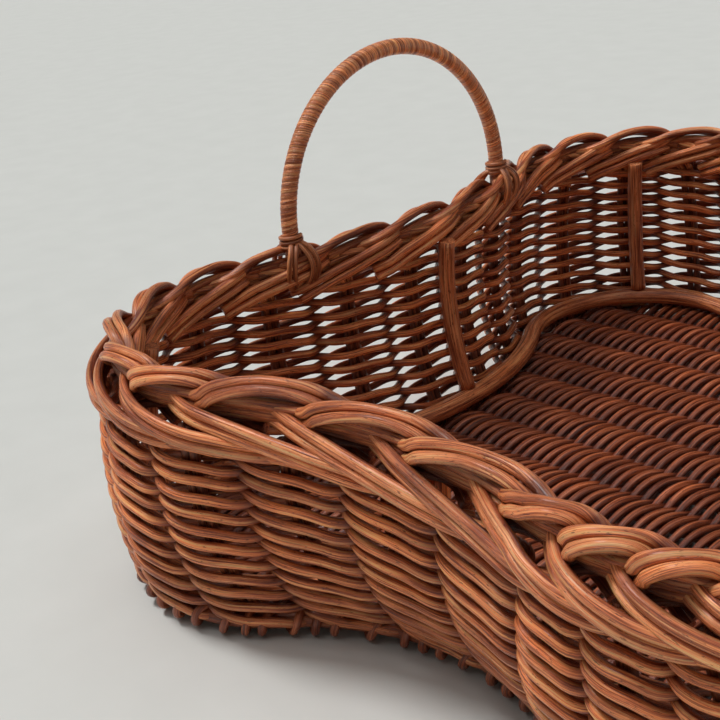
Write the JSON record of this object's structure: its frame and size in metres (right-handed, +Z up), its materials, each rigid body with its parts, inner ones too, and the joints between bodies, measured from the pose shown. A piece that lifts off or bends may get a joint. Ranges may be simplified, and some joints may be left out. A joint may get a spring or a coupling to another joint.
{
  "type": "serving tray",
  "caption": "Wavy-edged wicker serving tray with a woven floor and wall, a plaited rod border and a wrapped loop handle at each end.",
  "frame": {"origin": "centre of the tray on the surface it rests on", "axes": "+X along the tray towards one handle, +Y across it, +Z up"},
  "size_m": [0.4628, 0.3222, 0.153],
  "materials": {
    "thick_cane": "satin stained round cane",
    "floor_cane": "satin stained round cane",
    "stake_cane": "satin stained round cane",
    "weaving_cane": "satin stained round cane",
    "border_cane": "satin stained round cane",
    "wrapping_cane": "satin stained round cane",
    "binding_cane": "satin stained round cane"
  },
  "bodies": {
    "root": {"base_hoop": "thick_cane", "inner_foot_cane": "thick_cane", "floor_ribs": "floor_cane", "floor_weavers_over": "floor_cane", "floor_weavers_under": "floor_cane", "hoop_wraps": "floor_cane", "wall_stakes": "stake_cane", "weaver_01_outer": "weaving_cane", "weaver_01_inner": "weaving_cane", "weaver_02_outer": "weaving_cane", "weaver_02_inner": "weaving_cane", "weaver_03_outer": "weaving_cane", "weaver_03_inner": "weaving_cane", "weaver_04_outer": "weaving_cane", "weaver_04_inner": "weaving_cane", "weaver_05_outer": "weaving_cane", "weaver_05_inner": "weaving_cane", "weaver_06_outer": "weaving_cane", "weaver_06_inner": "weaving_cane", "weaver_07_outer": "weaving_cane", "weaver_07_inner": "weaving_cane", "weaver_08_outer": "weaving_cane", "weaver_08_inner": "weaving_cane", "weaver_09_outer": "weaving_cane", "weaver_09_inner": "weaving_cane", "weaver_10_outer": "weaving_cane", "weaver_10_inner": "weaving_cane", "weaver_11_outer": "weaving_cane", "weaver_11_inner": "weaving_cane", "weaver_12_outer": "weaving_cane", "weaver_12_inner": "weaving_cane", "post_01": "thick_cane", "post_02": "thick_cane", "post_03": "thick_cane", "post_04": "thick_cane", "post_05": "thick_cane", "post_06": "thick_cane", "post_07": "thick_cane", "post_08": "thick_cane", "post_09": "thick_cane", "post_10": "thick_cane", "border_inner_top": "border_cane", "border_inner_low": "border_cane", "border_outer_top": "border_cane", "border_outer_mid": "border_cane", "border_outer_low": "border_cane", "handle_core_left": "thick_cane", "handle_core_right": "thick_cane", "handle_wrap_left": "wrapping_cane", "handle_wrap_right": "wrapping_cane", "lashing_left_front": "binding_cane", "lashing_left_back": "binding_cane", "lashing_right_front": "binding_cane", "lashing_right_back": "binding_cane"}
  },
  "joints": []
}
